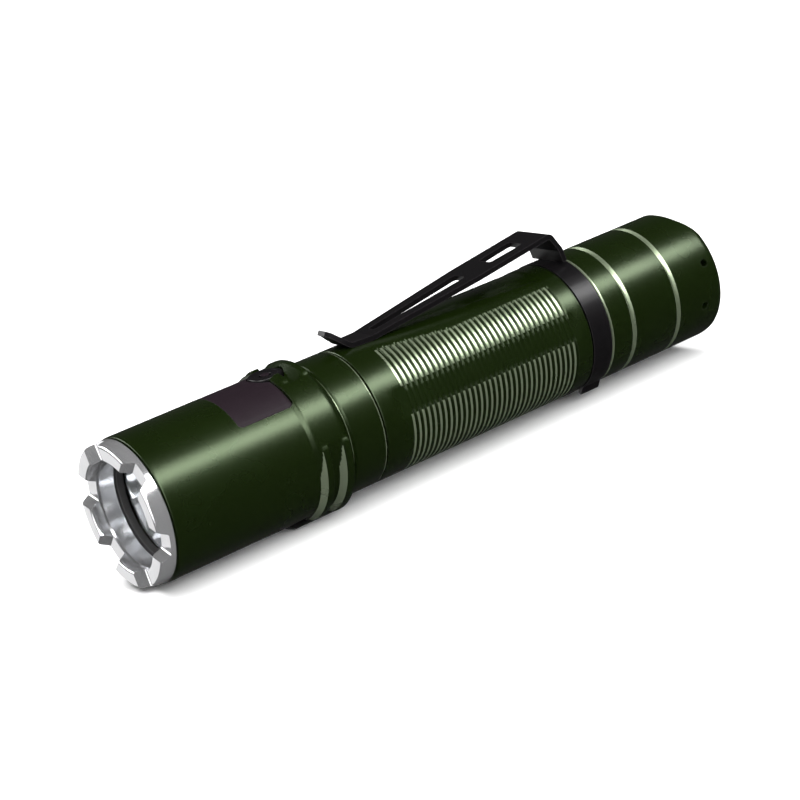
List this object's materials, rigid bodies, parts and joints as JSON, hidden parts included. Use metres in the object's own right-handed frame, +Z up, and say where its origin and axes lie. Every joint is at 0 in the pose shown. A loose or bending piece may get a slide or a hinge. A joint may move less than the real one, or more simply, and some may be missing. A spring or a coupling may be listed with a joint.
{
  "type": "tactical flashlight",
  "caption": "Slim one-cell tactical flashlight with a crowned steel bezel, side switch, ring-grooved grip, pocket clip and a tailcap with main and mode switches set between two horns.",
  "frame": {"origin": "mid-length, on the surface that the light lies on, below its axis", "axes": "+X along the beam, +Z up through the side switch and the pocket clip, +Y to the light's left seen from behind"},
  "size_m": [0.13, 0.0288, 0.0332],
  "materials": {
    "anodised_green": "satin dark green anodised",
    "polished_steel": "polished",
    "black_steel": "satin black coated sheet steel",
    "mirror_coat": "smooth mirror coated",
    "lens_glass": "clear, coated",
    "black_rubber": "matte moulded",
    "black_plastic": "fine satin",
    "white_plastic": "satin",
    "circuit_board": "solder mask",
    "copper": "bare copper",
    "brass": "gold plated brass",
    "phosphor": "yellow phosphor",
    "cell_wrap": "shrink wrap",
    "nickel": "nickel plated"
  },
  "bodies": {
    "tube": {"battery_tube": "anodised_green", "inner_sleeve": "brass", "head_o_ring": "black_rubber", "tail_o_ring": "black_rubber", "battery_cell": "cell_wrap", "battery_positive_cap": "nickel", "battery_negative_plate": "nickel"},
    "head_ring": {"driver_retaining_ring": "brass"},
    "head": {"head_housing": "anodised_green", "strike_bezel": "polished_steel", "reflector": "mirror_coat", "front_lens": "lens_glass", "lens_gasket": "black_rubber", "led_board": "copper", "led_emitter": "phosphor", "led_centering_ring": "white_plastic", "driver_board": "circuit_board", "driver_inductor": "black_plastic", "driver_chip": "black_plastic", "driver_contact_spring": "brass", "dark_inlay": "black_plastic", "side_switch_dome": "nickel", "side_switch_board": "circuit_board", "charge_port_shell": "nickel", "charge_port_tongue": "black_plastic"},
    "side_button": {"side_switch_button": "black_steel", "button_light_window": "black_plastic"},
    "port_flap": {"port_cover": "black_rubber"},
    "clip": {"pocket_clip": "black_steel"},
    "tail_ring": {"switch_retaining_ring": "brass"},
    "tail": {"tailcap_housing": "anodised_green", "tail_board": "circuit_board", "tail_spring": "brass", "main_switch_body": "black_plastic", "mode_switch_body": "black_plastic"},
    "main_button": {"main_switch_button": "black_rubber"},
    "mode_paddle": {"mode_switch_paddle": "polished_steel"}
  },
  "joints": [
    {"name": "head_travel", "type": "slide", "parent": "tube", "child": "head_ring", "axis": [1, 0, 0], "range_m": [0, 0.0041]},
    {"name": "head_turn", "type": "hinge", "parent": "head_ring", "child": "head", "pos_m": [0.03, 0, 0.0144], "axis": [1, 0, 0], "range_deg": [0, 1440]},
    {"name": "tail_travel", "type": "slide", "parent": "tube", "child": "tail_ring", "axis": [-1, 0, 0], "range_m": [0, 0.0051]},
    {"name": "tail_turn", "type": "hinge", "parent": "tail_ring", "child": "tail", "pos_m": [-0.05, 0, 0.0144], "axis": [-1, 0, 0], "range_deg": [0, 1800]},
    {"name": "clip_swivel", "type": "hinge", "parent": "tube", "child": "clip", "pos_m": [-0.0338, 0, 0.0144], "axis": [1, 0, 0], "continuous": true},
    {"name": "side_button_press", "type": "slide", "parent": "head", "child": "side_button", "axis": [0, 0, -1], "range_m": [0, 0.0005], "stiffness_N_per_m": 3000, "springref_m": -0.0003},
    {"name": "port_flap_open", "type": "hinge", "parent": "head", "child": "port_flap", "pos_m": [0.0345, 0, 0.0004], "axis": [0, -1, 0], "range_deg": [0, 100]},
    {"name": "main_button_press", "type": "slide", "parent": "tail", "child": "main_button", "axis": [1, 0, 0], "range_m": [0, 0.0014], "stiffness_N_per_m": 4500, "springref_m": -0.0003},
    {"name": "mode_paddle_press", "type": "slide", "parent": "tail", "child": "mode_paddle", "axis": [1, 0, 0], "range_m": [0, 0.0008], "stiffness_N_per_m": 3500, "springref_m": -0.0003}
  ],
  "couplings": [
    {"joint": "head_travel", "follows": "head_turn", "m_per_rad": 0.00015915},
    {"joint": "tail_travel", "follows": "tail_turn", "m_per_rad": 0.00015915}
  ]
}
